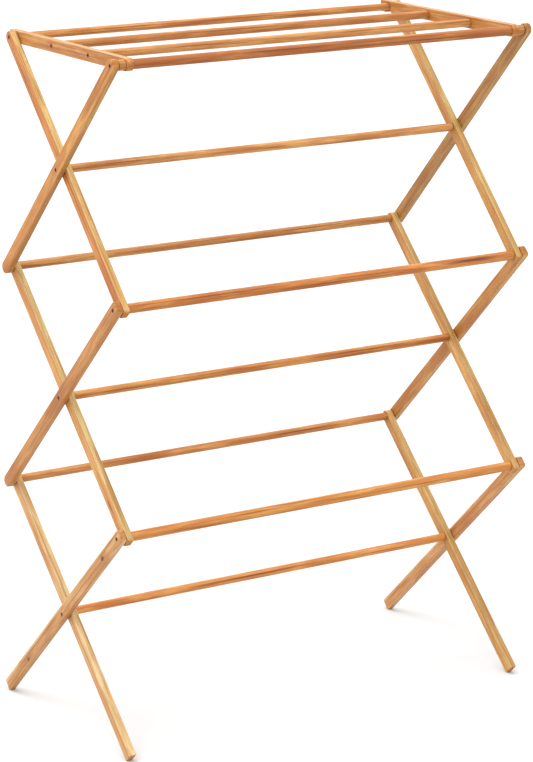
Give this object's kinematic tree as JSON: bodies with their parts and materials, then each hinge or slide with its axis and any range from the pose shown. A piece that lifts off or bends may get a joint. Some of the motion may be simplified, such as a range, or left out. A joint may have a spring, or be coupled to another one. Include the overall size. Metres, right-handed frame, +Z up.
{
  "type": "clothes drying rack",
  "caption": "Folding wooden clothes drying rack: scissor side frames of flat bars joined by round dowels, with a hinged top platform that hooks over the back dowel.",
  "frame": {"origin": "on the floor, under the centre of the open rack", "axes": "X along the dowels, -Y the front (the side the platform hinges on), +Z up"},
  "size_m": [0.745, 0.382, 1.0596],
  "materials": {
    "bar": "satin",
    "dowel": "satin",
    "spacer": "satin",
    "nail": "dull"
  },
  "bodies": {
    "leg_outer": {"leg_outer_left": "bar", "leg_outer_right": "bar", "dowel_front_lower": "dowel", "dowel_cross_lower": "dowel", "nails_lower": "nail"},
    "leg_inner": {"leg_inner_left": "bar", "leg_inner_right": "bar", "dowel_back_lower": "dowel"},
    "middle_outer": {"bar_middle_outer_left": "bar", "bar_middle_outer_right": "bar", "dowel_front_upper": "dowel", "dowel_cross_middle": "dowel", "nails_middle": "nail"},
    "middle_inner": {"bar_middle_inner_left": "bar", "bar_middle_inner_right": "bar", "dowel_back_upper": "dowel"},
    "upper_outer": {"bar_upper_outer_left": "bar", "bar_upper_outer_right": "bar", "dowel_top_front": "dowel", "dowel_cross_upper": "dowel", "spacer_left": "spacer", "spacer_right": "spacer", "nails_upper": "nail"},
    "upper_inner": {"bar_upper_inner_left": "bar", "bar_upper_inner_right": "bar", "dowel_top_back": "dowel", "nails_top_back": "nail"},
    "platform": {"platform_rail_left": "bar", "platform_rail_right": "bar", "platform_dowel_back": "dowel", "platform_dowel_front": "dowel", "nails_platform": "nail"}
  },
  "joints": [
    {"name": "leg_fold", "type": "hinge", "parent": "leg_outer", "child": "leg_inner", "pos_m": [0, 0, 0.182], "axis": [1, 0, 0], "range_deg": [0, 76]},
    {"name": "middle_inner_fold", "type": "hinge", "parent": "leg_outer", "child": "middle_inner", "pos_m": [0, -0.1745, 0.349], "axis": [-1, 0, 0], "range_deg": [-74.83, 0]},
    {"name": "middle_outer_fold", "type": "hinge", "parent": "leg_inner", "child": "middle_outer", "pos_m": [0, 0.1745, 0.349], "axis": [-1, 0, 0], "range_deg": [0, 74.83]},
    {"name": "upper_outer_fold", "type": "hinge", "parent": "middle_inner", "child": "upper_outer", "pos_m": [0, 0.169, 0.6935], "axis": [-1, 0, 0], "range_deg": [0, 72.03]},
    {"name": "upper_inner_fold", "type": "hinge", "parent": "middle_outer", "child": "upper_inner", "pos_m": [0, -0.169, 0.6935], "axis": [-1, 0, 0], "range_deg": [-72.03, 0]},
    {"name": "platform_swing", "type": "hinge", "parent": "upper_outer", "child": "platform", "pos_m": [0, -0.166, 1.05], "axis": [-1, 0, 0], "range_deg": [-305.25, 0]}
  ],
  "couplings": [
    {"joint": "middle_inner_fold", "follows": "leg_fold", "ratio": -0.98397},
    {"joint": "middle_outer_fold", "follows": "leg_fold", "ratio": 0.98397},
    {"joint": "upper_outer_fold", "follows": "leg_fold", "ratio": 0.94713},
    {"joint": "upper_inner_fold", "follows": "leg_fold", "ratio": -0.94713},
    {"joint": "platform_swing", "follows": "leg_fold", "ratio": -4.0158}
  ]
}
